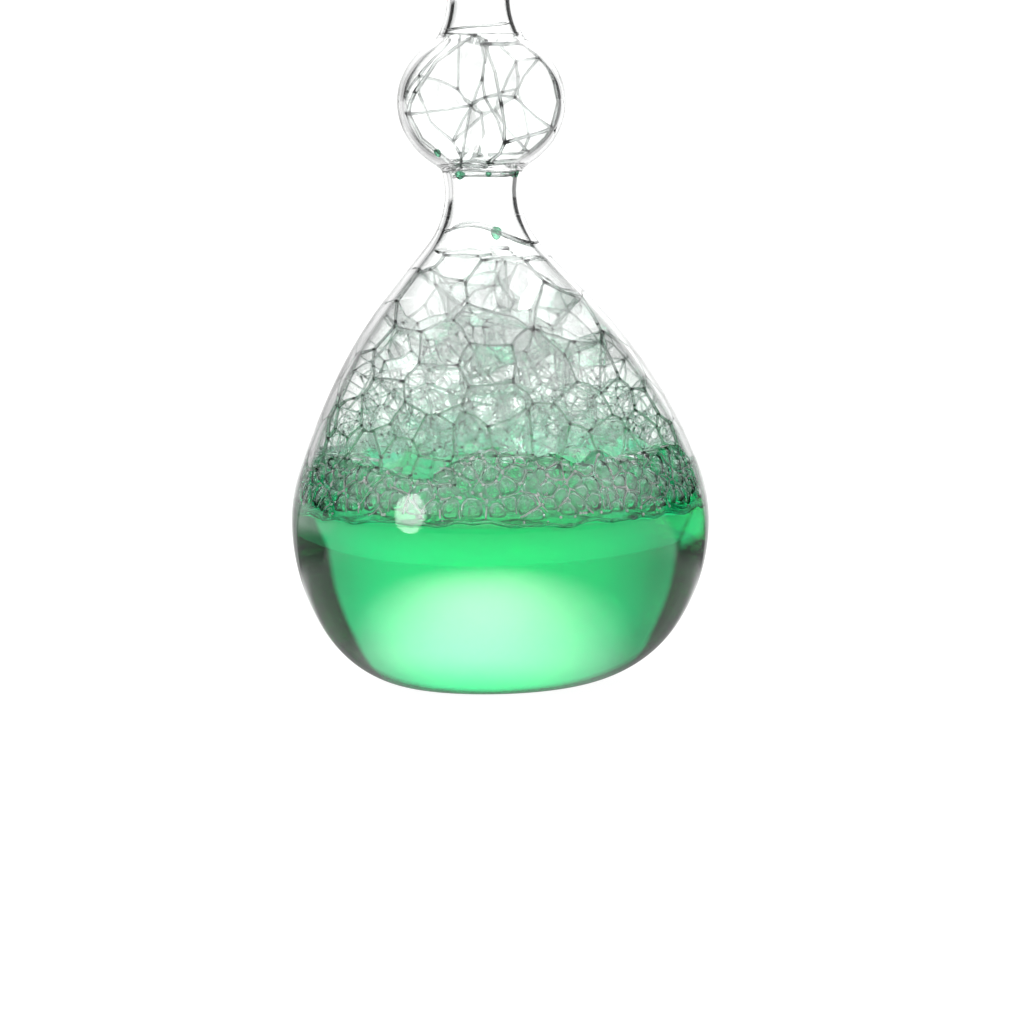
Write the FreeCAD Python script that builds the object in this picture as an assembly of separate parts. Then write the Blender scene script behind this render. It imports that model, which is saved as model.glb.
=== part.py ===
import FreeCAD
import Part
import math
import os

# Bubble hourglass: two flat-footed pear bulbs of blown glass, foot down and foot up, joined through a
# small round bulb by two waisted necks. The lower bulb holds coloured soapy water, and its foam climbs
# into the round bulb.
# Millimetres. +Z is up along the axis of revolution. The origin is the centre of the foot, on the table.

# Pear bulb, outside: a chain of tangent arcs from the flat foot to the neck
BELLY_RADIUS = 31.3         # the widest ring
BELLY_HEIGHT = 25.0         # the widest ring's height above the foot
FOOT_CORNER_RADIUS = 19.5   # soft corner between the foot and the flank
FLANK_RADIUS = 30.2         # below the widest ring
BROW_RADIUS = 24.0          # just above the widest ring
BROW_TURN = 18.7            # degrees from upright where the brow becomes the shoulder
SHOULDER_RADIUS = 77.0      # long, nearly straight
SHOULDER_TURN = 41.0        # degrees from upright at the top of the shoulder
THROAT_RADIUS = 12.0        # hollow curve through the neck's waist
NECK_FLARE = 32.0           # degrees that the throat's curve turns past the waist, into the round bulb

# Necks and round bulb, outside. Heights are above the foot.
LOWER_WAIST_RADIUS = 5.65
UPPER_WAIST_RADIUS = 4.95
UPPER_WAIST_HEIGHT = 103.0
ROUND_BULB_HEIGHT = 87.45   # of its centre
ROUND_BULB_RADIUS = 12.65
ROUND_BULB_RISE = 11.3      # half its height: the bulb is a little flattened
COLLAR_RADIUS = 1.6         # soft inside corner where a neck meets the round bulb

# Glass, seal and filling
WALL = 1.1
PEAR_SEAM = 3.5             # a pear is fused to its neck this far from the waist
FILL_HOLE_RADIUS = 2.6      # in the upper foot, closed by a melted plug once the glass is filled
PLUG_RECESS = 0.3           # keeps the plug off the table when the glass is turned over
PLUG_BEAD = 0.9             # how far the melted plug bulges into the bulb
LIQUID_HEIGHT = 27.2
WET_FOAM_TOP = 35.0         # small wet bubbles below, large drained cells above
FILM_THICKNESS = 0.6        # a soap film and its rim of liquid across the upper waist

ORIGIN = FreeCAD.Vector(0, 0, 0)
UP = FreeCAD.Vector(0, 0, 1)

os.makedirs("parts", exist_ok=True)


class Outline:
    """A chain of tangent lines and arcs in the XZ plane, drawn by walking with a heading."""

    def __init__(self, x, z):
        self.x, self.z, self.heading = x, z, 0.0
        self.start = self.place()
        self.edges = []

    def place(self):
        return FreeCAD.Vector(self.x, 0, self.z)

    def straight(self, length):
        start = self.place()
        self.x += length * math.cos(self.heading)
        self.z += length * math.sin(self.heading)
        self.edges.append(Part.LineSegment(start, self.place()).toShape())

    def arc(self, radius, turn):
        """Turns by so many degrees, to the left if positive and to the right if negative."""
        bend = math.copysign(radius, turn)
        centre_x = self.x - bend * math.sin(self.heading)
        centre_z = self.z + bend * math.cos(self.heading)
        stops = [self.place()]
        for _ in range(2):
            self.heading += math.radians(turn) / 2
            self.x = centre_x + bend * math.sin(self.heading)
            self.z = centre_z - bend * math.cos(self.heading)
            stops.append(self.place())
        self.edges.append(Part.Arc(*stops).toShape())


def revolved(edges, start, end):
    """The solid swept round the axis by edges that run from start to end."""
    loop = list(edges)
    foot, top = FreeCAD.Vector(0, 0, start.z), FreeCAD.Vector(0, 0, end.z)
    if (end - top).Length > Part.Precision.confusion():
        loop.append(Part.LineSegment(end, top).toShape())
    loop.append(Part.LineSegment(top, foot).toShape())
    face = Part.Face(Part.Wire(Part.__sortEdges__(loop)))
    return face.revolve(ORIGIN, UP, 360)


def throat_run(waist_radius):
    """Length of the straight between shoulder and throat that brings the outline in to the waist."""
    brow, top = math.radians(BROW_TURN), math.radians(SHOULDER_TURN)
    radius = BELLY_RADIUS - BROW_RADIUS * (1 - math.cos(brow))
    radius -= SHOULDER_RADIUS * (math.cos(brow) - math.cos(top))
    radius -= THROAT_RADIUS * (1 - math.cos(top))
    return (radius - waist_radius) / math.sin(top)


def pear(waist_radius, inset):
    """A pear bulb on its foot, with its neck past the waist. Inset 0 is the outside, WALL the inside.

    Returns the solid and the height of its waist.
    """
    spread = FLANK_RADIUS - FOOT_CORNER_RADIUS
    corner = math.acos((BELLY_HEIGHT - FOOT_CORNER_RADIUS) / spread)
    line = Outline(0, inset)
    line.straight(BELLY_RADIUS - FLANK_RADIUS + spread * math.sin(corner))
    line.arc(FOOT_CORNER_RADIUS - inset, math.degrees(corner))
    line.arc(FLANK_RADIUS - inset, 90 - math.degrees(corner))
    line.arc(BROW_RADIUS - inset, BROW_TURN)
    line.arc(SHOULDER_RADIUS - inset, SHOULDER_TURN - BROW_TURN)
    line.straight(throat_run(waist_radius))
    line.arc(THROAT_RADIUS + inset, -SHOULDER_TURN)
    waist_height = line.z
    line.arc(THROAT_RADIUS + inset, -NECK_FLARE)
    return revolved(line.edges, line.start, line.place()), waist_height


def spheroid(radius, rise, height):
    """A sphere flattened along the axis, centred on it at a height."""
    centre = FreeCAD.Vector(0, 0, height)
    side, top = centre + FreeCAD.Vector(radius, 0, 0), centre + UP * rise
    half = Part.ArcOfEllipse(Part.Ellipse(side, top, centre), -math.pi / 2, math.pi / 2)
    return revolved([half.toShape()], half.StartPoint, half.EndPoint)


def turned_over(shape, height):
    """The shape upside down, with its foot at a height."""
    copy = shape.copy()
    copy.rotate(ORIGIN, FreeCAD.Vector(1, 0, 0), 180)
    copy.translate(UP * height)
    return copy


def creases(solid):
    """The two sharp rings where the necks run into the round bulb, the lower one first. They lie level,
    to within the glass's thickness, and are smaller than the bulb's equator."""
    low, high = LOWER_WAIST_HEIGHT, UPPER_WAIST_HEIGHT
    rings = [e for e in solid.Edges if e.isClosed() and low < e.BoundBox.ZMin <= e.BoundBox.ZMax < high]
    rings = [e for e in rings if e.BoundBox.ZLength < WALL and e.BoundBox.XLength < 2 * ROUND_BULB_RADIUS]
    return sorted(rings, key=lambda e: e.BoundBox.ZMin)


def vessel(inset):
    """The whole glass as one solid, out to a wall surface: both pears, their necks and the round bulb."""
    lower, _ = pear(LOWER_WAIST_RADIUS, inset)
    upper, _ = pear(UPPER_WAIST_RADIUS, inset)
    middle = spheroid(ROUND_BULB_RADIUS - inset, ROUND_BULB_RISE - inset, ROUND_BULB_HEIGHT)
    return lower.fuse([middle, turned_over(upper, HEIGHT)])


def slab(low, high):
    """A disc between two heights, wider than the glass."""
    return Part.makeCylinder(2 * BELLY_RADIUS, high - low, UP * low)


def slice_of(solid, low, high):
    """The part of a solid between two heights, as one solid."""
    piece = solid.common(slab(low, high))
    return piece.Solids[0]


LOWER_WAIST_HEIGHT = pear(LOWER_WAIST_RADIUS, 0)[1]
HEIGHT = UPPER_WAIST_HEIGHT + pear(UPPER_WAIST_RADIUS, 0)[1]

# The outside and the cavity, with a soft collar at each ring where a neck meets the round bulb
sharp_outside, sharp_cavity = vessel(0), vessel(WALL)
collars = creases(sharp_outside)
outside = sharp_outside.makeFillet(COLLAR_RADIUS, collars)
cavity = sharp_cavity.makeFillet(COLLAR_RADIUS + WALL, creases(sharp_cavity))
glass = outside.cut(cavity)

# Heights at which the glass sections are fused together, from the foot to the top
lower_collar, upper_collar = (ring.BoundBox.ZMin for ring in collars)
lower_seam = LOWER_WAIST_HEIGHT - PEAR_SEAM
upper_seam = UPPER_WAIST_HEIGHT + PEAR_SEAM

parts = {
    "lower_bulb": slice_of(glass, 0, lower_seam),
    "lower_neck": slice_of(glass, lower_seam, lower_collar),
    "middle_bulb": slice_of(glass, lower_collar, upper_collar),
    "upper_neck": slice_of(glass, upper_collar, upper_seam),
}

# The upper bulb is filled through a hole in its foot, and the plug melts into that hole and beads inside
fill_hole = Part.makeCylinder(FILL_HOLE_RADIUS, 2 * WALL, UP * (HEIGHT - 1.5 * WALL))
parts["upper_bulb"] = slice_of(glass, upper_seam, HEIGHT).cut(fill_hole).Solids[0]
stem = Part.makeCylinder(FILL_HOLE_RADIUS, WALL - PLUG_RECESS, UP * (HEIGHT - WALL))
bead = spheroid(FILL_HOLE_RADIUS, PLUG_BEAD, HEIGHT - WALL).common(slab(HEIGHT - 2 * WALL, HEIGHT - WALL))
parts["fill_plug"] = stem.fuse(bead).removeSplitter().Solids[0]

# What the glass holds, from the foot up: each layer fills the cavity between two heights
parts["green_liquid"] = slice_of(cavity, 0, LIQUID_HEIGHT)
parts["wet_foam"] = slice_of(cavity, LIQUID_HEIGHT, WET_FOAM_TOP)
parts["drained_foam"] = slice_of(cavity, WET_FOAM_TOP, lower_seam)
parts["neck_foam"] = slice_of(cavity, lower_seam, lower_collar)
parts["middle_bulb_foam"] = slice_of(cavity, lower_collar, upper_collar)
half_film = FILM_THICKNESS / 2
parts["upper_neck_film"] = slice_of(cavity, UPPER_WAIST_HEIGHT - half_film, UPPER_WAIST_HEIGHT + half_film)

for name, shape in parts.items():
    shape.exportStep(f"parts/{name}.step")
    box = shape.BoundBox
    heights = f"z {box.ZMin:7.2f} to {box.ZMax:7.2f}"
    print(f"{name:18} valid {shape.isValid()}  volume {shape.Volume / 1000:8.3f} cm3  {heights}")
print(f"height {HEIGHT:.2f}, seams {lower_seam:.2f} {lower_collar:.2f} {upper_collar:.2f} {upper_seam:.2f}")
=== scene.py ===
import bpy
import bmesh
import math
import numpy as np
from mathutils import Matrix, Vector, kdtree, noise


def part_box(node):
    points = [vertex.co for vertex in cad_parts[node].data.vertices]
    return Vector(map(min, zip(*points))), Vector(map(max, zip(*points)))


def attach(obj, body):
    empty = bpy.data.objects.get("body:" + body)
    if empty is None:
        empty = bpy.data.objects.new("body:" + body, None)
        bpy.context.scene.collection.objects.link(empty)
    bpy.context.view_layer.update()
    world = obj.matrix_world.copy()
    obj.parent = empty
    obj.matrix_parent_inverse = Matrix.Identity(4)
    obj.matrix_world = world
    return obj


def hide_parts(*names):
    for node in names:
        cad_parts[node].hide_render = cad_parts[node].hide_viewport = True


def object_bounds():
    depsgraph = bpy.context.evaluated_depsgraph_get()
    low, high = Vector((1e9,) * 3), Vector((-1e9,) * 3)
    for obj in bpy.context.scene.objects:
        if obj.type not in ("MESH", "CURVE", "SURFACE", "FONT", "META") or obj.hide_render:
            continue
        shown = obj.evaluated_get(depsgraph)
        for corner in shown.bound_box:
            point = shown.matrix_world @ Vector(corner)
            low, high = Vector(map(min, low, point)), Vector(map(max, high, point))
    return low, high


# A bubble hourglass in blown glass: two pear bulbs, a small round bulb and two necks, green soapy water and
# its foam. Lengths are in metres. The camera looks along +Y, a little downwards.

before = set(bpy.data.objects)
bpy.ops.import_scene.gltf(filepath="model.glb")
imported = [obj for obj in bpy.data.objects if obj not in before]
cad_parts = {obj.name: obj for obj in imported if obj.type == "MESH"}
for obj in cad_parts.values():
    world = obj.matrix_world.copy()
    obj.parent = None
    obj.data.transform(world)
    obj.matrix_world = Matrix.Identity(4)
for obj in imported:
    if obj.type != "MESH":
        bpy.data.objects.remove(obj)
cad_low, cad_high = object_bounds()
random = np.random.default_rng(7)

# ---------------------------------------------------------------- sizes of the frame
MM = 0.001
DEGREES = 180 / math.pi
HEIGHT = cad_high.z
BELLY_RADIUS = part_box("lower_bulb")[1].x
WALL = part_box("green_liquid")[0].z
LOWER_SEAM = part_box("lower_bulb")[1].z
LOWER_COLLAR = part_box("lower_neck")[1].z
UPPER_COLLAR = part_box("middle_bulb")[1].z
UPPER_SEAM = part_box("upper_neck")[1].z
LIQUID_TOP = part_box("green_liquid")[1].z
WET_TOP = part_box("wet_foam")[1].z
UPPER_WAIST = sum(corner.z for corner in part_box("upper_neck_film")) / 2
BULB_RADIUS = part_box("middle_bulb")[1].x
BULB_HEIGHT = (LOWER_COLLAR + UPPER_COLLAR) / 2
PLUG_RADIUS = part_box("fill_plug")[1].x

# The glass's own curves, as in the CAD model
BELLY_HEIGHT = 25.0 * MM
FOOT_CORNER_RADIUS = 19.5 * MM
FLANK_RADIUS = 30.2 * MM
BROW_RADIUS, BROW_TURN = 24.0 * MM, math.radians(18.7)
SHOULDER_RADIUS, SHOULDER_TURN = 77.0 * MM, math.radians(41.0)
THROAT_RADIUS = 12.0 * MM
LOWER_WAIST_RADIUS, UPPER_WAIST_RADIUS = 5.65 * MM, 4.95 * MM
BULB_RISE = 11.3 * MM
COLLAR_SOFTNESS = 1.1 * MM      # how widely a neck and the round bulb blend
BELLY_OFFSET = 2.0 * MM         # hand-blown: the belly stands this far to one side of the necks' line
LOWER_SPREAD = 0.4              # below 1, the lower bulb keeps that offset nearly down to its foot
AROUND = 180                    # steps round the axis of a glass surface
GLASS_IOR, WATER_IOR = 1.47, 1.333
SOAK = 0.04 * MM                # how far water reaches into the glass, so that no air lies between them


# ---------------------------------------------------------------- outline of the glass
def arc_points(points, heading, radius, turn, steps):
    """Walks an arc on from the last point, and returns the new heading."""
    x, z = points[-1]
    bend = math.copysign(radius, turn)
    cx, cz = x - bend * math.sin(heading), z + bend * math.cos(heading)
    for i in range(1, steps + 1):
        angle = heading + turn * i / steps
        points.append((cx + bend * math.sin(angle), cz - bend * math.cos(angle)))
    return heading + turn


def pear_outline(waist_radius, inset):
    """(radius, height) points of a pear bulb from the middle of its foot to the waist of its neck."""
    spread = FLANK_RADIUS - FOOT_CORNER_RADIUS
    corner = math.acos((BELLY_HEIGHT - FOOT_CORNER_RADIUS) / spread)
    foot = BELLY_RADIUS - FLANK_RADIUS + spread * math.sin(corner)
    points = [(foot * i / 12, inset) for i in range(1, 13)]
    heading = arc_points(points, 0.0, FOOT_CORNER_RADIUS - inset, corner, 40)
    heading = arc_points(points, heading, FLANK_RADIUS - inset, math.pi / 2 - corner, 24)
    heading = arc_points(points, heading, BROW_RADIUS - inset, BROW_TURN, 16)
    heading = arc_points(points, heading, SHOULDER_RADIUS - inset, SHOULDER_TURN - BROW_TURN, 50)
    throat_drop = (THROAT_RADIUS + inset) * (1 - math.cos(SHOULDER_TURN))
    run = (points[-1][0] - throat_drop - (waist_radius - inset)) / math.sin(SHOULDER_TURN)
    x, z = points[-1]
    for i in range(1, 21):
        points.append((x + run * math.cos(heading) * i / 20, z + run * math.sin(heading) * i / 20))
    arc_points(points, heading, THROAT_RADIUS + inset, -SHOULDER_TURN, 30)
    return points


def blended_max(a, b, softness):
    """The larger of two lengths, with a soft corner where they meet."""
    share = max(softness - abs(a - b), 0.0) / softness
    return max(a, b) + share * share * softness / 4


def middle_outline(inset):
    """(radius, height) points from the lower waist, round the round bulb, to the upper waist."""
    lower_waist = pear_outline(LOWER_WAIST_RADIUS, inset)[-1][1]
    points = []
    for i in range(1, 180):
        z = lower_waist + (UPPER_WAIST - lower_waist) * i / 180
        if z < BULB_HEIGHT:
            waist, rise = LOWER_WAIST_RADIUS - inset, z - lower_waist
        else:
            waist, rise = UPPER_WAIST_RADIUS - inset, UPPER_WAIST - z
        hollow = THROAT_RADIUS + inset
        rise = min(rise, 0.6 * hollow)
        neck = waist + hollow - math.sqrt(hollow ** 2 - rise ** 2)
        share = (z - BULB_HEIGHT) / (BULB_RISE - inset)
        bulb = (BULB_RADIUS - inset) * math.sqrt(max(1 - share * share, 0.0))
        points.append((blended_max(neck, bulb, COLLAR_SOFTNESS), z))
    return points


def whole_outline(inset):
    upper = [(r, HEIGHT - z) for r, z in reversed(pear_outline(UPPER_WAIST_RADIUS, inset))]
    return pear_outline(LOWER_WAIST_RADIUS, inset) + middle_outline(inset) + upper


OUTSIDE = whole_outline(0.0)
INSIDE = whole_outline(WALL)
INSIDE_HEIGHTS = np.array([z for _, z in INSIDE[11:-11]])
INSIDE_RADII = np.array([r for r, _ in INSIDE[11:-11]])


def inner_radius(z):
    """Radius of the cavity at a height."""
    return float(np.interp(z, INSIDE_HEIGHTS, INSIDE_RADII))


def blown_offset(z):
    """How far the glass stands to the side at a height: most at the belly, nothing at the ends and the necks."""
    start, end = 1.3 * BELLY_HEIGHT, LOWER_SEAM + 2 * MM

    def lobe(height, spread):
        rise = np.clip(height / BELLY_HEIGHT, 0, 1) ** spread
        fall = np.clip((height - start) / (end - start), 0, 1)
        return np.sin(rise * math.pi / 2) * (1 - fall * fall * (3 - 2 * fall))
    return BELLY_OFFSET * (lobe(z, LOWER_SPREAD) - lobe(HEIGHT - z, 1))


# ---------------------------------------------------------------- meshes
def add_piece(name, shape, material, replaces=()):
    points, faces = shape
    co = np.array(points, float).reshape(-1, 3)
    co[:, 0] += blown_offset(co[:, 2])
    mesh = bpy.data.meshes.new(name)
    mesh.from_pydata(co.tolist(), [], faces)
    mesh.validate()
    mesh.polygons.foreach_set("use_smooth", [True] * len(mesh.polygons))
    mesh.materials.append(material)
    piece = bpy.data.objects.new(name, mesh)
    bpy.context.scene.collection.objects.link(piece)
    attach(piece, "root")
    if replaces:
        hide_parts(*replaces)
    return piece


def turns(steps):
    """Angles of even steps round a full turn."""
    return [2 * math.pi * k / steps for k in range(steps)]


def quads(low, high, steps):
    """Faces between two rings of points, from the first number of each."""
    return [(low + k, low + (k + 1) % steps, high + (k + 1) % steps, high + k) for k in range(steps)]


def quads_back(low, high, steps):
    """The same faces, turned to the other side."""
    return [(a, d, c, b) for a, b, c, d in quads(low, high, steps)]


def fan(pole, ring, steps):
    """Faces from one point to a ring of points."""
    return [(pole, ring + k, ring + (k + 1) % steps) for k in range(steps)]


def fan_back(pole, ring, steps):
    """The same faces, turned to the other side."""
    return [(pole, c, b) for pole, b, c in fan(pole, ring, steps)]


def lathe(outline, closed_loop):
    """Points and faces of a line of (radius, height) turned round the axis. Radius 0 is a pole."""
    points, rings, faces = [], [], []
    for r, z in outline:
        if r < 1e-7:
            rings.append([len(points)] * AROUND)
            points.append((0, 0, z))
            continue
        rings.append(range(len(points), len(points) + AROUND))
        points += [(r * math.cos(turn), r * math.sin(turn), z) for turn in turns(AROUND)]
    pairs = list(zip(rings, rings[1:]))
    if closed_loop:
        pairs.append((rings[-1], rings[0]))
    for a, b in pairs:
        for k in range(AROUND):
            corners = [a[k], a[(k + 1) % AROUND], b[(k + 1) % AROUND], b[k]]
            face = list(dict.fromkeys(corners))
            if len(face) > 2:
                faces.append(face)
    return points, faces


def stretch(outline, low, high):
    """The part of an outline between two heights, with points exactly at them."""
    kept = [point for point in outline if low <= point[1] <= high]
    for (r0, z0), (r1, z1) in zip(outline, outline[1:]):
        kept += [(r0 + (r1 - r0) * (cut - z0) / (z1 - z0), cut) for cut in (low, high) if z0 < cut < z1]
    return sorted(kept, key=lambda point: point[1])


# ---------------------------------------------------------------- materials
def new_material(name):
    material = bpy.data.materials.new(name)
    material.use_nodes = True
    return material, material.node_tree.nodes, material.node_tree.links


class Sums:
    """Sums in a material or world, on numbers and nodes' outputs."""
    def __init__(self, nodes, links):
        self.nodes, self.links = nodes, links

    def feed(self, socket, value):
        if isinstance(value, (int, float)):
            socket.default_value = value
        else:
            self.links.new(value, socket)

    def do(self, kind, *values):
        node = self.nodes.new("ShaderNodeMath")
        node.operation = kind
        for socket, value in zip(node.inputs, values):
            self.feed(socket, value)
        return node.outputs[0]

    def times(self, a, b):
        return self.do("MULTIPLY", a, b)

    def plus_part(self, start, value, factor):
        """Start plus factor times value."""
        return self.do("MULTIPLY_ADD", value, factor, start)

    def step(self, value, start, end):
        """0 before start and 1 after end, or the other way round, smoothly."""
        node = self.nodes.new("ShaderNodeMapRange")
        node.interpolation_type = "SMOOTHSTEP"
        node.inputs["From Min"].default_value = start
        node.inputs["From Max"].default_value = end
        self.links.new(value, node.inputs["Value"])
        return node.outputs["Result"]

    def band(self, value, low, high, soft):
        """1 between low and high and 0 outside, with soft edges."""
        return self.times(self.step(value, low - soft, low + soft), self.step(value, high + soft, high - soft))

    def mix(self, share, first, second):
        node = self.nodes.new("ShaderNodeMix")
        for name, value in (("Factor", share), ("A", first), ("B", second)):
            self.feed(node.inputs[name], value)
        return node.outputs["Result"]

    def vector(self, kind, place):
        node = self.nodes.new("ShaderNodeVectorMath")
        node.operation = kind
        self.links.new(place, node.inputs[0])
        return node

    def angles(self, vector):
        """Azimuth from +Y towards +X, and elevation, in degrees."""
        split = self.nodes.new("ShaderNodeSeparateXYZ")
        self.links.new(vector, split.inputs[0])
        turn = self.do("ARCTAN2", split.outputs["X"], split.outputs["Y"])
        rise = self.do("ARCSINE", split.outputs["Z"])
        return self.times(turn, DEGREES), self.times(rise, DEGREES)


def patches(nodes, links, scale):
    """Noise in the object's own space, at a scale per metre."""
    place = nodes.new("ShaderNodeTexCoord")
    texture = nodes.new("ShaderNodeTexNoise")
    texture.inputs["Scale"].default_value = scale
    links.new(place.outputs["Object"], texture.inputs["Vector"])
    return texture.outputs["Fac"]


def bump(nodes, links, shader, scale, height):
    """Uneven surface on a shader: scale per metre, height in metres."""
    uneven = nodes.new("ShaderNodeBump")
    uneven.inputs["Distance"].default_value = height
    links.new(patches(nodes, links, scale), uneven.inputs["Height"])
    links.new(uneven.outputs["Normal"], shader.inputs["Normal"])


def shade(nodes, links, shader, value, first, last, start=0.0, end=1.0):
    """Colours a shader from the first colour to the last, as a value goes from start to end."""
    ramp = nodes.new("ShaderNodeValToRGB")
    low, high = ramp.color_ramp.elements
    low.position, low.color = start, (*first, 1)
    high.position, high.color = end, (*last, 1)
    links.new(value, ramp.inputs["Fac"])
    links.new(ramp.outputs["Color"], shader.inputs["Base Color"])


def clear_material(name, colour, ior, roughness, scale, height):
    """A clear material with an uneven surface: colour is what it lets through."""
    material, nodes, links = new_material(name)
    shader = nodes["Principled BSDF"]
    shader.inputs["Base Color"].default_value = (*colour, 1)
    shader.inputs["Transmission Weight"].default_value = 1.0
    shader.inputs["IOR"].default_value = ior
    shader.inputs["Roughness"].default_value = roughness
    bump(nodes, links, shader, scale, height)
    return material, nodes, links, shader


def glass_material():
    """Clear, with painted shade where the eye looks along the wall instead of through it: the colour darkens
    towards the outlines.
    """
    clear, painted_edge_shade = (0.965, 0.97, 0.967), (0.09, 0.10, 0.095)
    material, nodes, links, shader = clear_material(
        "blown_glass", (0.985, 0.995, 0.99), GLASS_IOR, 0.0, 70, 0.12 * MM)
    # Layer Weight darkens the colour at grazing angles: painted shade on the glass's outlines.
    weight = nodes.new("ShaderNodeLayerWeight")
    shade(nodes, links, shader, weight.outputs["Facing"], clear, painted_edge_shade, 0.71, 0.81)
    return material


def dye(nodes, links, colour, density):
    """Absorption inside a liquid, per metre."""
    absorb = nodes.new("ShaderNodeVolumeAbsorption")
    absorb.inputs["Color"].default_value = (*colour, 1)
    absorb.inputs["Density"].default_value = density
    links.new(absorb.outputs["Volume"], nodes["Material Output"].inputs["Volume"])


def liquid_material():
    material, nodes, links, _ = clear_material("green_water", (1, 1, 1), WATER_IOR, 0.0, 150, 0.02 * MM)
    dye(nodes, links, (0.04, 0.878, 0.645), 100)
    return material


# ---------------------------------------------------------------- glass
def fused_material():
    """The faces where two sections are fused, which nothing shows."""
    material, nodes, links = new_material("fused_glass")
    nodes["Principled BSDF"].inputs["Alpha"].default_value = 0.0
    return material


def glass_section(name, low, high, material, fused):
    """One fused section of the vessel, from seam to seam, with its inner and outer faces."""
    outer, inner = stretch(OUTSIDE, low, high), stretch(INSIDE, low, high)
    if low <= 0:
        outline = [(0, 0)] + outer + inner[::-1] + [(0, WALL)]
    elif high >= HEIGHT:
        rim = [(PLUG_RADIUS, HEIGHT), (PLUG_RADIUS, HEIGHT - WALL)]
        outer = [p for p in outer if p[0] > PLUG_RADIUS]
        inner = [p for p in inner if p[0] > PLUG_RADIUS]
        outline = outer + rim + inner[::-1]
    else:
        outline = outer + inner[::-1]
    shape = lathe(outline, closed_loop=low > 0)
    piece = add_piece(f"{name}_glass", shape, material, replaces=[name])
    piece.data.materials.append(fused)
    for polygon in piece.data.polygons:
        heights = {round(piece.data.vertices[k].co.z, 6) for k in polygon.vertices}
        z = min(heights)
        flat = len(heights) == 1 and abs(polygon.normal.z) > 0.99
        if flat and 0 < z < HEIGHT - 2 * WALL and min(abs(z - low), abs(z - high)) < 1e-5:
            polygon.material_index = 1
    piece.data.set_sharp_from_angle(angle=math.radians(50))


def make_glass():
    """The five fused sections, a hair apart so that they don't share a face, and the plug."""
    material, fused = glass_material(), fused_material()
    gap = 0.01 * MM
    names = ("lower_bulb", "lower_neck", "middle_bulb", "upper_neck", "upper_bulb")
    ends = (0, LOWER_SEAM, LOWER_COLLAR, UPPER_COLLAR, UPPER_SEAM, HEIGHT)
    for name, low, high in zip(names, ends, ends[1:]):
        glass_section(name, low + gap * (low > 0), high - gap * (high < HEIGHT), material, fused)
    low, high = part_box("fill_plug")
    radius, middle = PLUG_RADIUS - 2 * gap, HEIGHT - WALL
    quarter = [math.pi / 2 * i / 12 for i in range(13)]
    top = [(radius * math.sin(a), high.z - 0.2 * MM * (1 - math.cos(a))) for a in quarter]
    bead = [(radius * math.cos(a), middle - (middle - low.z) * math.sin(a)) for a in quarter[:-1]]
    plug = lathe((top + bead + [(0, low.z)])[::-1], closed_loop=False)
    add_piece("fill_plug_glass", plug, material, replaces=["fill_plug"])


# ---------------------------------------------------------------- liquid
def line_rise(x, y):
    """How far the line between liquid and foam stands above or below its mean."""
    return 0.9 * MM * noise.noise(Vector((x, y, 0)) * 260)


def make_liquid():
    side = stretch(whole_outline(WALL - SOAK), 0, LIQUID_TOP)
    rim = side[-1][0]
    surface = [(rim * (1 - i / 60), LIQUID_TOP) for i in range(1, 60)]
    points, faces = lathe([(0, WALL - SOAK)] + side + surface + [(0, LIQUID_TOP)], closed_loop=False)
    points = [(x, y, z + line_rise(x, y) * (z > LIQUID_TOP - 1e-9)) for x, y, z in points]
    add_piece("liquid", (points, faces), liquid_material(), replaces=["green_liquid"])


# ---------------------------------------------------------------- foam geometry
class Mesh:
    """Points and faces gathered from many small shapes."""
    def __init__(self):
        self.points, self.faces = [], []

    def add(self, points, faces):
        start = len(self.points)
        self.points += points
        self.faces += [tuple(start + k for k in face) for face in faces]

    def shape(self):
        return self.points, self.faces


def tube(mesh, path, radii, sides):
    """A closed thread along a short path."""
    points, faces = [], []
    along = (path[-1] - path[0]).normalized()
    across = along.cross(Vector((0.31, 0.83, 0.46))).normalized()
    over = along.cross(across)
    for centre, radius in zip(path, radii):
        points += [centre + radius * (math.cos(turn) * across + math.sin(turn) * over) for turn in turns(sides)]
    last = (len(path) - 1) * sides
    for ring in range(0, last, sides):
        faces += quads(ring, ring + sides, sides)
    faces.append(tuple(range(sides))[::-1])
    faces.append(tuple(range(last, last + sides)))
    mesh.add(points, faces)


def cut_away(faces, points, keys, normal, offset, label):
    """Cut a convex cell by a plane and keep what lies behind it. Returns whether the plane met the cell."""
    live = {k for loop in faces.values() for k in loop}
    side = {k: normal.dot(points[k]) - offset for k in live}
    if max(side.values()) <= 1e-9:
        return False
    fresh, ring = {}, {}
    for face, loop in list(faces.items()):
        kept, cuts = [], []
        for a, b in zip(loop, loop[1:] + loop[:1]):
            if side[a] <= 0:
                kept.append(a)
            if (side[a] <= 0) != (side[b] <= 0):
                edge = (min(a, b), max(a, b))
                if edge not in fresh:
                    share = side[a] / (side[a] - side[b])
                    points.append(points[a].lerp(points[b], share))
                    keys.append((keys[a] & keys[b]) | {label})
                    fresh[edge] = len(points) - 1
                kept.append(fresh[edge])
                cuts.append(fresh[edge])
        if len(cuts) == 2:
            ring.setdefault(cuts[0], []).append(cuts[1])
            ring.setdefault(cuts[1], []).append(cuts[0])
        if len(kept) > 2:
            faces[face] = kept
        else:
            del faces[face]
    if len(ring) > 2:
        start = next(iter(ring))
        loop, before, here = [start], None, start
        while True:
            onward = [k for k in ring[here] if k != before]
            if not onward or onward[0] == start or len(loop) > len(ring):
                break
            before, here = here, onward[0]
            loop.append(here)
        if len(loop) > 2:
            faces[label] = loop
    return True


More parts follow.
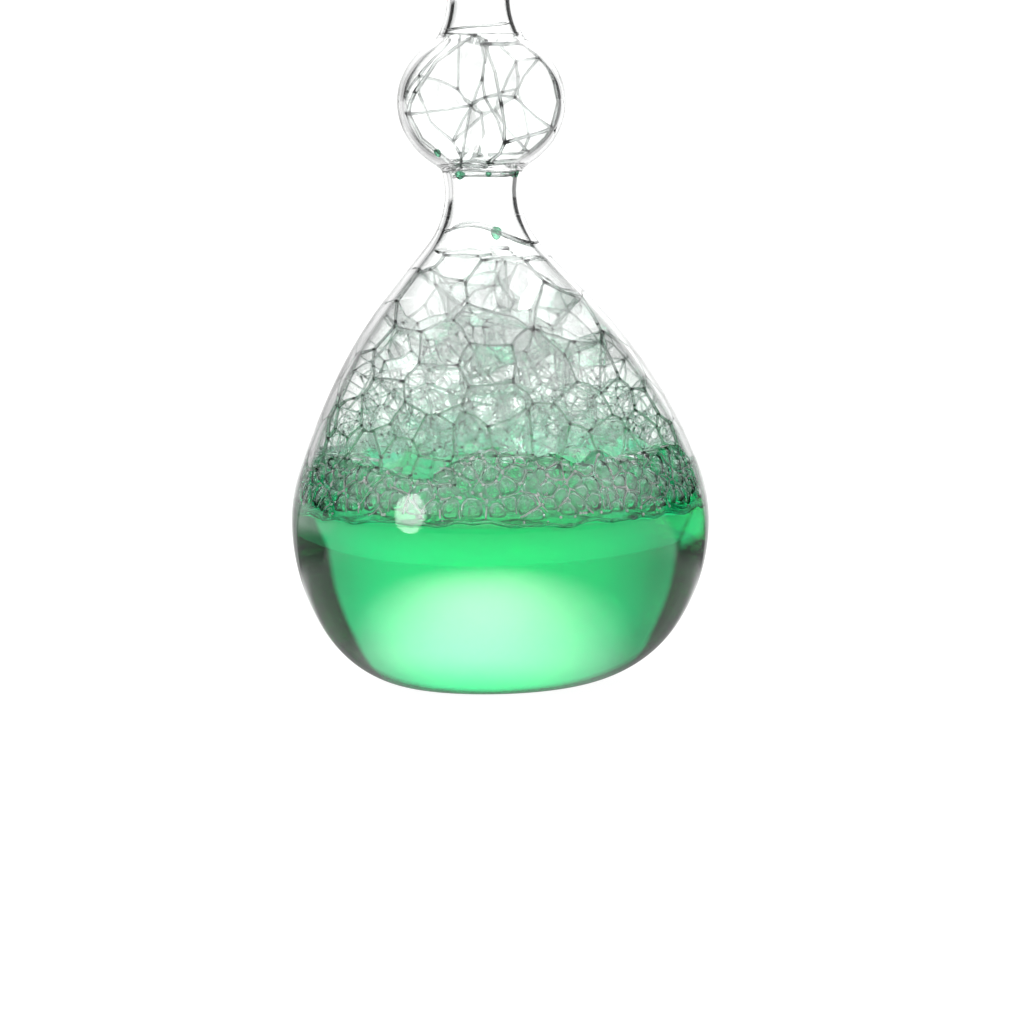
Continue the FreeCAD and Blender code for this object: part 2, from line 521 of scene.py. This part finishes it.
def cell(index, centres, tree, reach):
    """One cell of the foam: the space nearer to its own centre than to any other's."""
    own = centres[index]
    corners = [(x, y, z) for x in (-1, 1) for y in (-1, 1) for z in (-1, 1)]
    points = [own + reach * Vector(c) for c in corners]
    keys = [frozenset((-1 if x < 0 else -2, -3 if y < 0 else -4, -5 if z < 0 else -6)) for x, y, z in corners]
    faces = {-1: [0, 1, 3, 2], -2: [4, 6, 7, 5], -3: [0, 4, 5, 1],
             -4: [2, 3, 7, 6], -5: [0, 2, 6, 4], -6: [1, 5, 7, 3]}
    far = reach * 1.8
    for place, other, distance in tree.find_range(own, 2 * reach):
        if other == index:
            continue
        if distance > 2 * far:
            break
        normal = (place - own) / distance
        if cut_away(faces, points, keys, normal, normal.dot((place + own) / 2), other):
            far = max((points[k] - own).length for loop in faces.values() for k in loop)
    return faces, points, keys


def mirrored(centre, outline, floor, ceiling, reach):
    """Reflections of a cell centre in the walls around it, each with what it stands for."""
    r, z = math.hypot(centre.x, centre.y), centre.z
    wall_r, wall_z = min(outline, key=lambda p: (p[0] - r) ** 2 + (p[1] - z) ** 2)
    found = []
    if math.hypot(wall_r - r, wall_z - z) < reach and r > 1e-6:
        new_r, new_z = 2 * wall_r - r, 2 * wall_z - z
        found.append((Vector((centre.x * new_r / r, centre.y * new_r / r, new_z)), "glass"))
    for height, kind in (floor, ceiling):
        level = height(centre.x, centre.y)
        if abs(z - level) < reach:
            found.append((Vector((centre.x, centre.y, 2 * level - z)), kind))
    return found


def scatter(outline, low, high, spacing, floor, ceiling):
    """Cell centres at least a local spacing apart, between a floor and a ceiling that may slope."""
    widest = max(r for r, z in outline if low <= z <= high)
    wanted = int(90 * (2 * widest) ** 2 * (high - low) / spacing(Vector((0, 0, low))) ** 3)
    tries = min(wanted, 60000)
    spots = random.random((tries, 3)) * [2 * widest, 2 * widest, high - low] + [-widest, -widest, low]
    heights = [p[1] for p in outline]
    radii = [p[0] for p in outline]
    kept = np.empty((0, 3))
    for spot in spots:
        r = math.hypot(spot[0], spot[1])
        gap = spacing(Vector(spot))
        if r > np.interp(spot[2], heights, radii) - 0.35 * gap:
            continue
        if not floor(*spot[:2]) + 0.3 * gap < spot[2] < ceiling(*spot[:2]) - 0.3 * gap:
            continue
        if len(kept) and np.min(((kept - spot) ** 2).sum(axis=1)) < gap * gap:
            continue
        kept = np.vstack((kept, spot))
    return [Vector(p) for p in kept]


def search_tree(centres):
    """Finds the centres near a place."""
    tree = kdtree.KDTree(len(centres))
    for k, centre in enumerate(centres):
        tree.insert(centre, k)
    tree.balance()
    return tree


def divide(seeds, outline, floor, ceiling, reach, rounds):
    """Space shared out between the cells: corner points, faces by pair of cells, edges by three, and the cells'
    kinds and centres."""
    for turn in range(rounds + 1):
        centres, kinds = list(seeds), list(range(len(seeds)))
        for seed in seeds:
            for place, kind in mirrored(seed, outline, floor, ceiling, reach):
                centres.append(place)
                kinds.append(kind)
        tree = search_tree(centres)
        corners, films, edges, middles = {}, {}, {}, []
        for k in range(len(seeds)):
            faces, points, keys = cell(k, centres, tree, reach)
            live = {p for loop in faces.values() for p in loop}
            middles.append(sum((points[p] for p in live), Vector()) / len(live))
            if turn < rounds:
                continue
            for other, loop in faces.items():
                if other < 0 or any(min(keys[p]) < 0 for p in loop):
                    continue
                named = [keys[p] | {k} for p in loop]
                for name, p in zip(named, loop):
                    corners.setdefault(name, points[p])
                if other > k:
                    films[k, other] = named
                for a, b in zip(named, named[1:] + named[:1]):
                    shared = a & b
                    if len(shared) == 3 and a != b:
                        edges[shared] = (a, b)
        if turn < rounds:
            seeds = [seed.lerp(middle, 0.8) for seed, middle in zip(seeds, middles)]
    return corners, films, edges, kinds, seeds


def on_glass(point, clearance):
    """The point moved out to the inner face of the glass."""
    r = max(math.hypot(point.x, point.y), 1e-9)
    share = (inner_radius(point.z) - clearance) / r
    return Vector((point.x * share, point.y * share, point.z))


def past_glass(point, clearance):
    """Whether a point lies beyond the inner face of the glass."""
    return math.hypot(point.x, point.y) > inner_radius(point.z) - clearance


class Foam:
    """The shared corners, threads and films of a body of foam."""
    def __init__(self, seeds, outline, floor, ceiling, reach, rounds, thread):
        corners, films, edges, kinds, self.seeds = divide(seeds, outline, floor, ceiling, reach, rounds)
        self.thread, self.kinds = thread, kinds
        self.places = {}
        for name, point in corners.items():
            if past_glass(point, thread) or any(kinds[k] == "glass" for k in name):
                point = on_glass(point, thread)
            self.places[name] = point
        self.merged = {}
        self.edges, self.films = {}, []
        for shared, (a, b) in sorted(edges.items(), key=lambda item: sorted(item[0])):
            if len({kinds[k] for k in shared}) == 3:
                if (self.place(a) - self.place(b)).length < 2.2 * thread:
                    self.join(a, b)
        for shared, (a, b) in sorted(edges.items(), key=lambda item: sorted(item[0])):
            a, b = self.root(a), self.root(b)
            if len({kinds[k] for k in shared}) == 3 and a != b:
                self.edges[shared] = (a, b)
        for (one, other), loop in sorted(films.items()):
            if kinds[other] not in ("glass", "water"):
                self.films.append((one, other, loop))

    def root(self, name):
        while name in self.merged:
            name = self.merged[name]
        return name

    def place(self, name):
        return self.places[self.root(name)]

    def join(self, a, b):
        a, b = self.root(a), self.root(b)
        if a != b:
            wall = any(self.kinds[k] == "glass" for k in a)
            if not wall and not any(self.kinds[k] == "glass" for k in b):
                self.places[a] = (self.places[a] + self.places[b]) / 2
            elif not wall:
                a, b = b, a
            self.merged[b] = a

    def touches(self, shared, kind):
        return any(self.kinds[k] == kind for k in shared)

    def middle(self, shared, a, b):
        """Halfway along a thread, which bows a little, always in the same way for the same thread."""
        middle = (a + b) / 2
        bow = np.random.default_rng(sum(shared)).normal(size=3)
        middle += 0.05 * (b - a).length * Vector(bow)
        if past_glass(middle, self.thread) or self.touches(shared, "glass"):
            middle = on_glass(middle, self.thread)
        return middle

    def draw_thread(self, mesh, shared, size, sides):
        a, b = (self.places[name] for name in self.edges[shared])
        middle = self.middle(shared, a, b)
        if sides < 4:
            path, thick = [a, middle, b], [1.15, 0.95, 1.15]
        else:
            path = [a, a.lerp(middle, 0.35), middle, middle.lerp(b, 0.65), b]
            thick = [1.2, 1.0, 0.95, 1.0, 1.2]
        tube(mesh, path, [size * t for t in thick], sides)

    def draw_film(self, mesh, one, other, loop):
        """One soap film between two cells, bulging a little to one side."""
        rim, names = [], [self.root(name) for name in loop]
        for raw_a, raw_b, a, b in zip(loop, loop[1:] + loop[:1], names, names[1:] + names[:1]):
            if a == b:
                continue
            rim.append(self.places[a])
            shared = raw_a & raw_b
            rim.append(self.middle(shared, self.places[a], self.places[b]))
        if len(rim) < 6:
            return
        centre = sum(rim, Vector()) / len(rim)
        normal = sum(((p - centre).cross(q - centre) for p, q in zip(rim, rim[1:] + rim[:1])), Vector())
        if normal.length < 1e-12:
            return
        size = sum((p - centre).length for p in rim) / len(rim)
        lift = normal.normalized() * size * 0.12 * (1 if (one * 7 + other) % 2 else -1)
        inner = [centre.lerp(p, 0.55) + 0.7 * lift for p in rim]
        count = len(rim)
        mesh.add(rim + inner + [centre + lift], quads(0, count, count) + fan(2 * count, count, count))


def thread_material(name, low_colour, high_colour, ior=WATER_IOR):
    """Water drawn out into threads, greener towards the liquid. Its grey tint is painted shade that makes the
    lines look darker. A lower IOR makes them softer to look at.
    """
    material, nodes, links, shader = clear_material(name, high_colour, ior, 0.02, 900, 0.02 * MM)
    place = nodes.new("ShaderNodeTexCoord")
    split = nodes.new("ShaderNodeSeparateXYZ")
    links.new(place.outputs["Object"], split.inputs[0])
    height = Sums(nodes, links).step(split.outputs["Z"], WET_TOP, WET_TOP + 16 * MM)
    shade(nodes, links, shader, height, low_colour, high_colour)
    return material


def film_material(name, alpha):
    """Soap film: almost clear, with a faint mirror sheen that varies."""
    material, nodes, links = new_material(name)
    shader = nodes["Principled BSDF"]
    shader.inputs["Metallic"].default_value = 1.0
    shader.inputs["Roughness"].default_value = 0.03
    shader.inputs["Alpha"].default_value = alpha
    shade(nodes, links, shader, patches(nodes, links, 260), (0.72, 0.80, 0.76), (0.98, 0.96, 0.98))
    bump(nodes, links, shader, 300, 0.05 * MM)
    return material


def wet_top(x, y):
    """Height of the uneven top of the wet foam."""
    wave = math.sin(x * 190 + 1.0) * math.cos(y * 230 - 0.6) + 0.8 * math.sin(x * 410 - y * 350)
    return WET_TOP + (1.3 * wave + 3.0 * noise.noise(Vector((x, y, 0)) * 170)) * MM


def foam_top(x, y):
    """The foam's top in the throat, higher on the left."""
    return 64.5 * MM - 0.12 * x


def thread_size(foam, shared, least, growth, most):
    """Radius of a thread, which grows with the size of the cells it runs between."""
    a, b = (foam.places[name] for name in foam.edges[shared])
    near = min((foam.seeds[k] - (a + b) / 2).length for k in shared if k < len(foam.seeds))
    return min(least + growth * near, most)


def draw_foam(foam, wall_size, inner_size, fine_depth, wide_from):
    """Threads inside, threads on the glass, and films of a foam below and above a height, as meshes."""
    inside, on_wall, sheets = Mesh(), Mesh(), (Mesh(), Mesh())
    for shared, (a, b) in foam.edges.items():
        middle = (foam.places[a] + foam.places[b]) / 2
        depth = inner_radius(middle.z) - math.hypot(middle.x, middle.y)
        if foam.touches(shared, "glass"):
            foam.draw_thread(on_wall, shared, thread_size(foam, shared, *wall_size), 6)
        else:
            sides = 5 if depth < fine_depth else 3
            foam.draw_thread(inside, shared, thread_size(foam, shared, *inner_size), sides)
    for one, other, loop in foam.films:
        foam.draw_film(sheets[foam.place(loop[0]).z > wide_from], one, other, loop)
    return inside, on_wall, sheets


def make_drained_foam(threads, films, wide_films):
    """Small cells low in the middle, growing to wide flat-sided ones against the glass and up the shoulder."""
    def spacing(spot):
        share = min(max((spot.z - WET_TOP) / (30 * MM), 0), 1)
        edge = min(spot.xy.length / max(inner_radius(spot.z), 1 * MM), 1)
        core, wall = 2.7 + 4.6 * share, 3.0 + 4.6 * min(1, 2.0 * share)
        return (core + (wall - core) * edge ** 3) * MM

    outline = stretch(INSIDE, 25 * MM, LOWER_SEAM + 4 * MM)
    seeds = scatter(outline, WET_TOP - 2 * MM, 66 * MM, spacing, wet_top, foam_top)
    foam = Foam(seeds, outline, (wet_top, "water"), (foam_top, "air"), 10 * MM, 2, 0.14 * MM)
    wall_size, inner_size = (0.13 * MM, 0.02, 0.20 * MM), (0.035 * MM, 0.036, 0.18 * MM)
    inside, on_wall, sheets = draw_foam(foam, wall_size, inner_size, 9 * MM, 48 * MM)
    add_piece("foam_threads", inside.shape(), threads[0], replaces=["drained_foam"])
    add_piece("threads_on_glass", on_wall.shape(), threads[1])
    add_piece("foam_films", sheets[0].shape(), films)
    add_piece("wide_foam_films", sheets[1].shape(), wide_films)


def make_bulb_foam(thread, films):
    """A few large cells that fill the round bulb from throat to throat."""
    low, high = LOWER_COLLAR + 1.2 * MM, UPPER_COLLAR - 0.6 * MM
    floor, ceiling = (lambda x, y: low + 0.1 * x), (lambda x, y: high - 0.12 * x)
    outline = stretch(INSIDE, low - 4 * MM, high + 4 * MM)
    seeds = scatter(outline, low, high, lambda spot: 7.0 * MM, floor, ceiling)
    foam = Foam(seeds, outline, (floor, "air"), (ceiling, "air"), 14 * MM, 2, 0.15 * MM)
    inside, on_wall, sheets = draw_foam(foam, (0.24 * MM, 0, 0.24 * MM), (0.2 * MM, 0, 0.2 * MM), 20 * MM, 0)
    inside.add(*on_wall.shape())
    add_piece("bulb_threads", inside.shape(), thread, replaces=["middle_bulb_foam"])
    add_piece("bulb_films", sheets[1].shape(), films)


# ---------------------------------------------------------------- films across the necks
def ring_thread(mesh, path, radii, sides=8):
    """A closed thread that runs round and joins itself."""
    count = len(path)
    middle = sum(path, Vector()) / count
    points = []
    for k, (spot, radius) in enumerate(zip(path, radii)):
        along = (path[(k + 1) % count] - path[k - 1]).normalized()
        out = (spot - middle).normalized()
        up = along.cross(out).normalized()
        out = up.cross(along)
        points += [spot + radius * (math.cos(turn) * out + math.sin(turn) * up) for turn in turns(sides)]
    faces = []
    for k in range(count):
        faces += quads_back(k * sides, (k + 1) % count * sides, sides)
    mesh.add(points, faces)


def disc_faces(rings, steps):
    """Faces of a disc whose first point is its middle, followed by rings of points."""
    faces = fan(0, 1, steps)
    for ring in range(1, 1 + (rings - 1) * steps, steps):
        faces += quads_back(ring, ring + steps, steps)
    return faces


def bore_film(threads_mesh, films_mesh, height, tilt, dome, thick, arch=0.0):
    """A film across the bore, with the thread that holds its rim to the glass."""
    steps, rings = 48, 7
    path = []
    for turn in turns(steps):
        z = height
        for _ in range(6):
            r = inner_radius(z) - thick
            wave = 0.03 * r * math.sin(3 * turn + 1)
            z = height + tilt * r * math.cos(turn) + arch * math.sin(turn) ** 2 + wave
        path.append(Vector((r * math.cos(turn), r * math.sin(turn), z)))
    centre = sum(path, Vector()) / steps
    points = [centre + Vector((0, 0, dome))]
    for ring in range(1, rings + 1):
        share = ring / rings
        points += [centre.lerp(p, share) + Vector((0, 0, dome * (1 - share ** 2))) for p in path]
    films_mesh.add(points, disc_faces(rings, steps))
    swell = [thick * (1 + 0.35 * math.sin(2 * math.pi * 2 * k / steps + height * 700)) for k in range(steps)]
    ring_thread(threads_mesh, path, swell)


def drop(mesh, centre, radius, stretch_down):
    """A small round drop, drawn out downwards by stretch_down."""
    rows, steps = 9, 14
    points = [centre + Vector((0, 0, radius))]
    for row in range(1, rows):
        fall = math.pi * row / rows
        z = radius * math.cos(fall) * (stretch_down if fall > math.pi / 2 else 1)
        r = radius * math.sin(fall)
        points += [centre + Vector((r * math.cos(turn), r * math.sin(turn), z)) for turn in turns(steps)]
    points.append(centre - Vector((0, 0, radius * stretch_down)))
    last = len(points) - 1
    mesh.add(points, disc_faces(rows - 1, steps) + fan_back(last, last - steps, steps))


def make_neck_films(thread, films):
    """Films across both necks, and the drops that hang in the lower one."""
    lower, lower_sheets, upper, upper_sheets, drops = Mesh(), Mesh(), Mesh(), Mesh(), Mesh()
    bore_film(lower, lower_sheets, 67.0 * MM, -0.20, 1.2 * MM, 0.3 * MM, arch=1.8 * MM)
    bore_film(lower, lower_sheets, LOWER_COLLAR + 0.2 * MM, -0.06, -0.8 * MM, 0.3 * MM)
    bore_film(lower, lower_sheets, LOWER_COLLAR - 0.9 * MM, 0.05, -0.5 * MM, 0.22 * MM)
    bore_film(upper, upper_sheets, UPPER_COLLAR + 1.4 * MM, 0.10, 0.9 * MM, 0.18 * MM)
    bore_film(upper, upper_sheets, UPPER_WAIST + 0.2 * MM, -0.08, 0.6 * MM, 0.3 * MM)
    drop(drops, Vector((1.8 * MM, -4.6 * MM, 68.2 * MM)), 0.8 * MM, 1.7)
    for turn, size in ((2.6, 0.55), (4.0, 0.7), (4.9, 0.45), (5.9, 0.6), (0.8, 0.5)):
        r = inner_radius(LOWER_COLLAR) - 0.35 * MM
        drop(drops, Vector((r * math.cos(turn), r * math.sin(turn), LOWER_COLLAR - 0.4 * MM)), size * MM, 1.5)
    drop(drops, Vector((-6.4 * MM, -6.5 * MM, 80.6 * MM)), 0.6 * MM, 1.6)
    add_piece("neck_threads", lower.shape(), thread, replaces=["neck_foam"])
    add_piece("neck_films", lower_sheets.shape(), films)
    add_piece("upper_neck_threads", upper.shape(), thread, replaces=["upper_neck_film"])
    add_piece("upper_neck_films", upper_sheets.shape(), films)
    green = clear_material("green_drops", (0.16, 0.52, 0.32), WATER_IOR, 0.0, 500, 0.02 * MM)[0]
    add_piece("hanging_drops", drops.shape(), green)


# ---------------------------------------------------------------- wet foam
def ball_directions():
    """Even directions and triangles over a ball: a twenty-sided solid with each side cut in nine."""
    mesh = bmesh.new()
    bmesh.ops.create_icosphere(mesh, subdivisions=1, radius=1)
    sides = [[v.co.normalized() for v in face.verts] for face in mesh.faces]
    mesh.free()
    found, points, faces = {}, [], []

    def index(point):
        point = point.normalized()
        name = tuple(round(c, 4) + 0.0 for c in point)
        if name not in found:
            found[name] = len(points)
            points.append(point)
        return found[name]

    cuts = 3
    for a, b, c in sides:
        grid = {}
        for i in range(cuts + 1):
            for j in range(cuts + 1 - i):
                grid[i, j] = index((a * (cuts - i - j) + b * i + c * j) / cuts)
        for i in range(cuts):
            for j in range(cuts - i):
                faces.append((grid[i, j], grid[i + 1, j], grid[i, j + 1]))
                if i + j < cuts - 1:
                    faces.append((grid[i + 1, j], grid[i + 1, j + 1], grid[i, j + 1]))
    return np.array([tuple(p) for p in points]), faces


def wet_foam_body():
    """The water of the wet foam: a slab that reaches a hair into the glass and the liquid below."""
    steps, overlap = 144, 0.05 * MM
    rows = [("flat", 0, share / 40) for share in range(1, 40)]
    rows += [("side", share / 14, 1) for share in range(15)]
    rows += [("top", 1, 1 - share / 30) for share in range(1, 30)]
    bed_rim, lid_rim = inner_radius(LIQUID_TOP) + SOAK, inner_radius(WET_TOP)

    def bed_height(x, y):
        return LIQUID_TOP + line_rise(x, y) - overlap

    points = [Vector((0, 0, bed_height(0, 0)))]
    for kind, level, share in rows:
        for turn in turns(steps):
            cos, sin = math.cos(turn), math.sin(turn)
            if kind == "flat":
                r = share * bed_rim
                z = bed_height(r * cos, r * sin)
            elif kind == "side":
                low = bed_height(bed_rim * cos, bed_rim * sin)
                z = low + level * (wet_top(lid_rim * cos, lid_rim * sin) - low)
                r = inner_radius(z) + SOAK
            else:
                r = share * (inner_radius(wet_top(lid_rim * cos, lid_rim * sin)) + SOAK)
                z = wet_top(share * lid_rim * cos, share * lid_rim * sin)
            points.append(Vector((r * cos, r * sin, z)))
    points.append(Vector((0, 0, wet_top(0, 0))))
    last = len(points) - 1
    faces = fan_back(0, 1, steps)
    for ring in range(1, last - steps, steps):
        faces += quads(ring, ring + steps, steps)
    return points, faces + fan(last, last - steps, steps)


def painted_highlights_material():
    """Thin white lines, greener in patches, that stand in for the wet foam's highlights: painted highlights."""
    material, nodes, links = new_material("painted_highlights")
    shader = nodes["Principled BSDF"]
    shader.inputs["Roughness"].default_value = 0.3
    green, white = (0.55, 0.74, 0.64), (0.98, 0.95, 0.95)
    shade(nodes, links, shader, patches(nodes, links, 400), green, white, 0.35, 0.65)
    return material


def bubble(seed, neighbours, directions):
    """Points of one bubble: a ball pressed flat towards its neighbours, with more water between them below."""
    share = min(max((seed.z - LIQUID_TOP) / (WET_TOP - LIQUID_TOP), 0), 1)
    film = (0.14 - 0.10 * share) * MM
    walls = [(place - seed) for place in neighbours]
    normals = np.array([tuple(w.normalized()) for w in walls])
    reach = np.clip(np.array([w.length / 2 for w in walls]) - film, 0.3 * MM, 1.9 * MM)
    facing = np.maximum(directions @ normals.T, 0) / reach
    radii = np.minimum((facing ** 9).sum(axis=1) ** (-1 / 9), 2.2 * MM)
    return [seed + Vector(d) * r for d, r in zip(directions, radii)]


def make_painted_highlights(foam):
    """Painted highlights: white lines where some of the bubbles meet on the glass, and white specks beside them.
    """
    painted_highlights = Mesh()
    for shared, (a, b) in foam.edges.items():
        a, b = foam.places[a], foam.places[b]
        low_enough = max(a.z, b.z) < wet_top(a.x, a.y) - 0.3 * MM
        on_wall = foam.touches(shared, "glass") and not foam.touches(shared, "water")
        if on_wall and low_enough and sum(shared) % 5 < 3:
            foam.draw_thread(painted_highlights, shared, (0.07 + 0.035 * (sum(shared) % 3)) * MM, 5)
    # The specks are small white drops at corners on the glass: painted glints.
    for place in sorted(foam.places.values(), key=lambda p: (p.x, p.y, p.z)):
        depth = inner_radius(place.z) - place.xy.length
        if depth < 0.4 * MM and random.random() < 0.35 and place.z < wet_top(place.x, place.y):
            drop(painted_highlights, place, (0.12 + 0.14 * random.random()) * MM, 1.0)
    add_piece("painted_highlights_lines", painted_highlights.shape(), painted_highlights_material())


def make_wet_foam():
    """Bubbles pressed together in a layer inside the glass, round a middle of plain green water."""
    def bed(x, y):
        return LIQUID_TOP + line_rise(x, y) + (1.3 + 1.9 * noise.noise(Vector((x, y, 5)) * 330)) * MM

    def lid(x, y):
        return wet_top(x, y) - 0.15 * MM

    def spacing(spot):
        patch = 0.4 + 0.9 * noise.noise(spot * 240)
        return (1.15 + 1.6 * min(max(patch, 0), 1)) * MM

    outline, shell = stretch(INSIDE, 20 * MM, 45 * MM), 5 * MM
    floor, ceiling = (bed, "water"), (lid, "air")
    seeds = scatter(outline, LIQUID_TOP, WET_TOP + 2 * MM, spacing, bed, lid)
    depths = [inner_radius(p.z) - math.hypot(p.x, p.y) for p in seeds]
    seeds, depths = zip(*[pair for pair in zip(seeds, depths) if pair[1] < shell + 2 * MM])
    directions, triangles = ball_directions()
    centres = list(seeds)
    for seed in seeds:
        centres += [place for place, _ in mirrored(seed, outline, floor, ceiling, 6 * MM)]
    tree = search_tree(centres)
    mesh = Mesh()
    mesh.add(*wet_foam_body())
    for k, (seed, depth) in enumerate(zip(seeds, depths)):
        if depth <= shell:
            walls = cell(k, centres, tree, 5 * MM)[0]
            points = bubble(seed, [centres[other] for other in walls if other >= 0], directions)
            mesh.add(points, [face[::-1] for face in triangles])
    # White lines and specks on the glass: painted highlights.
    make_painted_highlights(Foam(seeds, outline, floor, ceiling, 6 * MM, 0, 0.12 * MM))
    material, nodes, links, _ = clear_material(
        "wet_foam_water", (0.97, 1, 0.98), WATER_IOR, 0.0, 400, 0.02 * MM)
    dye(nodes, links, (0.04, 0.87, 0.66), 90)
    add_piece("wet_foam_bubbles", mesh.shape(), material, replaces=["wet_foam"])


# ---------------------------------------------------------------- stage
# Directions from the object are in degrees from +Y towards +X, and in degrees above level.
PANEL_WIDTH, PANEL_AIM = 29, 0.12
RIGHT_FLAG, LEFT_FLAG, GAP = (33, 76), (-76, -35), (-76, -37)
ROOM, OVERHEAD, GAP_LIGHT, POOL_LIGHT = 0.45, 2.4, 0.75, 5.2
BACKGROUND_SEEN, TABLE_SEEN = 1.05, 0.98


def camera_sees(sums, plain, studio, shader):
    """The camera sees a plain pale value, and everything else is lit by the studio's."""
    path = sums.nodes.new("ShaderNodeLightPath")
    sums.links.new(sums.mix(path.outputs["Is Camera Ray"], studio, plain), shader.inputs["Strength"])


def backdrop_level(sums, azimuth, elevation):
    """The studio as the object sees it: a soft bright panel behind, brighter towards its top, a dark flag at
    each side with a gap of light in the left one, a paler room beside and in front, and a light overhead."""
    off_axis = sums.plus_part(-PANEL_AIM, azimuth, 1 / PANEL_WIDTH)
    panel = sums.do("EXPONENT", sums.times(sums.times(off_axis, off_axis), -1.0))
    higher = sums.plus_part(1.0, sums.step(elevation, 2, 15), 0.45)
    higher = sums.plus_part(higher, sums.step(elevation, -7, -1), 0.95)
    panel = sums.times(panel, higher)
    away = sums.do("ABSOLUTE", azimuth)
    in_front = sums.plus_part(-0.15, sums.step(elevation, 0, 18), 0.9)
    room = sums.do("ADD", sums.times(sums.step(away, 80, 110), in_front), ROOM)
    level = sums.do("ADD", sums.times(sums.step(away, 26, 40), room), panel)
    foot = sums.step(elevation, -17, -12)
    right, left = (sums.times(sums.band(azimuth, *flag, 2), foot) for flag in (RIGHT_FLAG, LEFT_FLAG))
    level = sums.times(level, sums.plus_part(1.0, sums.do("ADD", right, left), -0.98))
    gap = sums.times(sums.band(azimuth, *GAP, 2), sums.band(elevation, -5, 1, 1.5))
    level = sums.plus_part(level, gap, GAP_LIGHT)
    return sums.mix(sums.step(elevation, 36, 52), level, OVERHEAD)


def make_world():
    world = bpy.data.worlds.new("studio")
    world.use_nodes = True
    bpy.context.scene.world = world
    sums = Sums(world.node_tree.nodes, world.node_tree.links)
    shader = sums.nodes["Background"]
    shader.inputs["Color"].default_value = (1, 1, 1, 1)
    place = sums.nodes.new("ShaderNodeTexCoord")
    level = backdrop_level(sums, *sums.angles(place.outputs["Generated"]))
    camera_sees(sums, BACKGROUND_SEEN, level, shader)


def table_material():
    """Pale, with the studio's light and dark carried on across it, and a pool of light in front."""
    material, nodes, links = new_material("table")
    nodes.remove(nodes["Principled BSDF"])
    sums = Sums(nodes, links)
    place = nodes.new("ShaderNodeTexCoord").outputs["Object"]
    reach = sums.vector("LENGTH", place).outputs["Value"]
    azimuth, _ = sums.angles(sums.vector("NORMALIZE", place).outputs["Vector"])
    elevation = sums.times(sums.do("ARCTAN2", -20 * MM, reach), DEGREES)
    far = backdrop_level(sums, azimuth, elevation)
    near = sums.plus_part(0.25, sums.step(sums.do("ABSOLUTE", azimuth), 60, 25), 0.95)
    level = sums.mix(sums.step(reach, 0.075, 0.115), near, far)
    pool = sums.vector("DISTANCE", place)
    pool.inputs[1].default_value = (-4 * MM, -43 * MM, 0)
    glow = sums.step(pool.outputs["Value"], 50 * MM, 1 * MM)
    glow = sums.times(glow, sums.step(reach, 14 * MM, 27 * MM))
    lit = nodes.new("ShaderNodeEmission")
    camera_sees(sums, TABLE_SEEN, sums.plus_part(level, glow, POOL_LIGHT), lit)
    matte = nodes.new("ShaderNodeBsdfDiffuse")
    matte.inputs["Color"].default_value = (0.12, 0.12, 0.12, 1)
    both = nodes.new("ShaderNodeAddShader")
    links.new(lit.outputs[0], both.inputs[0])
    links.new(matte.outputs[0], both.inputs[1])
    links.new(both.outputs[0], nodes["Material Output"].inputs["Surface"])
    return material


def make_floor():
    """A wide round table top, a hair below the object's foot."""
    steps, rings, radius, level = 96, 16, 6.0, -0.05 * MM
    points = [(0, 0, level)]
    for ring in range(1, rings + 1):
        reach = radius * (ring / rings) ** 2
        points += [(reach * math.cos(turn), reach * math.sin(turn), level) for turn in turns(steps)]
    mesh = bpy.data.meshes.new("table_top")
    mesh.from_pydata(points, [], disc_faces(rings, steps))
    mesh.materials.append(table_material())
    floor = bpy.data.objects.new("table_top", mesh)
    bpy.context.scene.collection.objects.link(floor)


def make_window():
    """The small soft light in front on the left, whose reflection shows on the glass."""
    data = bpy.data.lights.new("window", "AREA")
    data.shape = "ELLIPSE"
    data.size, data.size_y = 0.15, 0.22
    data.energy = 0.42
    window = bpy.data.objects.new("window", data)
    bpy.context.scene.collection.objects.link(window)
    turn, distance = math.radians(-130), 0.5
    window.location = (distance * math.sin(turn), distance * math.cos(turn), 0.12)
    window.rotation_euler = (Vector((0, 0, 0.03)) - window.location).to_track_quat("-Z", "Y").to_euler()
    window.visible_camera = False


def make_camera():
    """A long lens a little above the object, framing its lower bulb, neck and round bulb."""
    elevation, roll, distance, shown = math.radians(6.5), math.radians(-0.75), 0.9, 1024 * 0.15 * MM
    data = bpy.data.cameras.new("camera")
    data.sensor_width = 36
    data.lens = data.sensor_width * distance / shown
    data.clip_start = 0.01
    camera = bpy.data.objects.new("camera", data)
    bpy.context.scene.collection.objects.link(camera)
    target = Vector((3.75 * MM, 0, 25.9 * MM))
    camera.location = target + distance * Vector((0, -math.cos(elevation), math.sin(elevation)))
    level = Matrix.Rotation(math.pi / 2 - elevation, 3, "X")
    camera.rotation_euler = (level @ Matrix.Rotation(roll, 3, "Z")).to_euler()
    bpy.context.scene.camera = camera


make_world()
make_floor()
make_window()
make_camera()
make_glass()
make_liquid()
# The threads' grey tints are painted shade: the same water, darker on the glass and darker still in the necks.
threads = (thread_material("inner_threads", (0.90, 0.97, 0.94), (0.82, 0.85, 0.835), 1.28),
           thread_material("threads_on_glass", (0.55, 0.74, 0.62), (0.64, 0.66, 0.65)))
films = film_material("foam_films", 0.10)
shoulder_films = film_material("shoulder_films", 0.34)
wide_films = film_material("wide_films", 0.24)
neck_threads = thread_material("neck_threads", (0.36, 0.5, 0.43), (0.42, 0.44, 0.43))
make_drained_foam(threads, films, shoulder_films)
make_bulb_foam(threads[1], wide_films)
make_neck_films(neck_threads, wide_films)
make_wet_foam()

BOUNCES = 48                    # light has to get through many layers of foam
scene = bpy.context.scene
scene.view_settings.view_transform = "Standard"
scene.cycles.max_bounces = BOUNCES
scene.cycles.transmission_bounces = BOUNCES
scene.cycles.transparent_max_bounces = 2 * BOUNCES
scene.cycles.caustics_reflective = True
scene.cycles.caustics_refractive = True
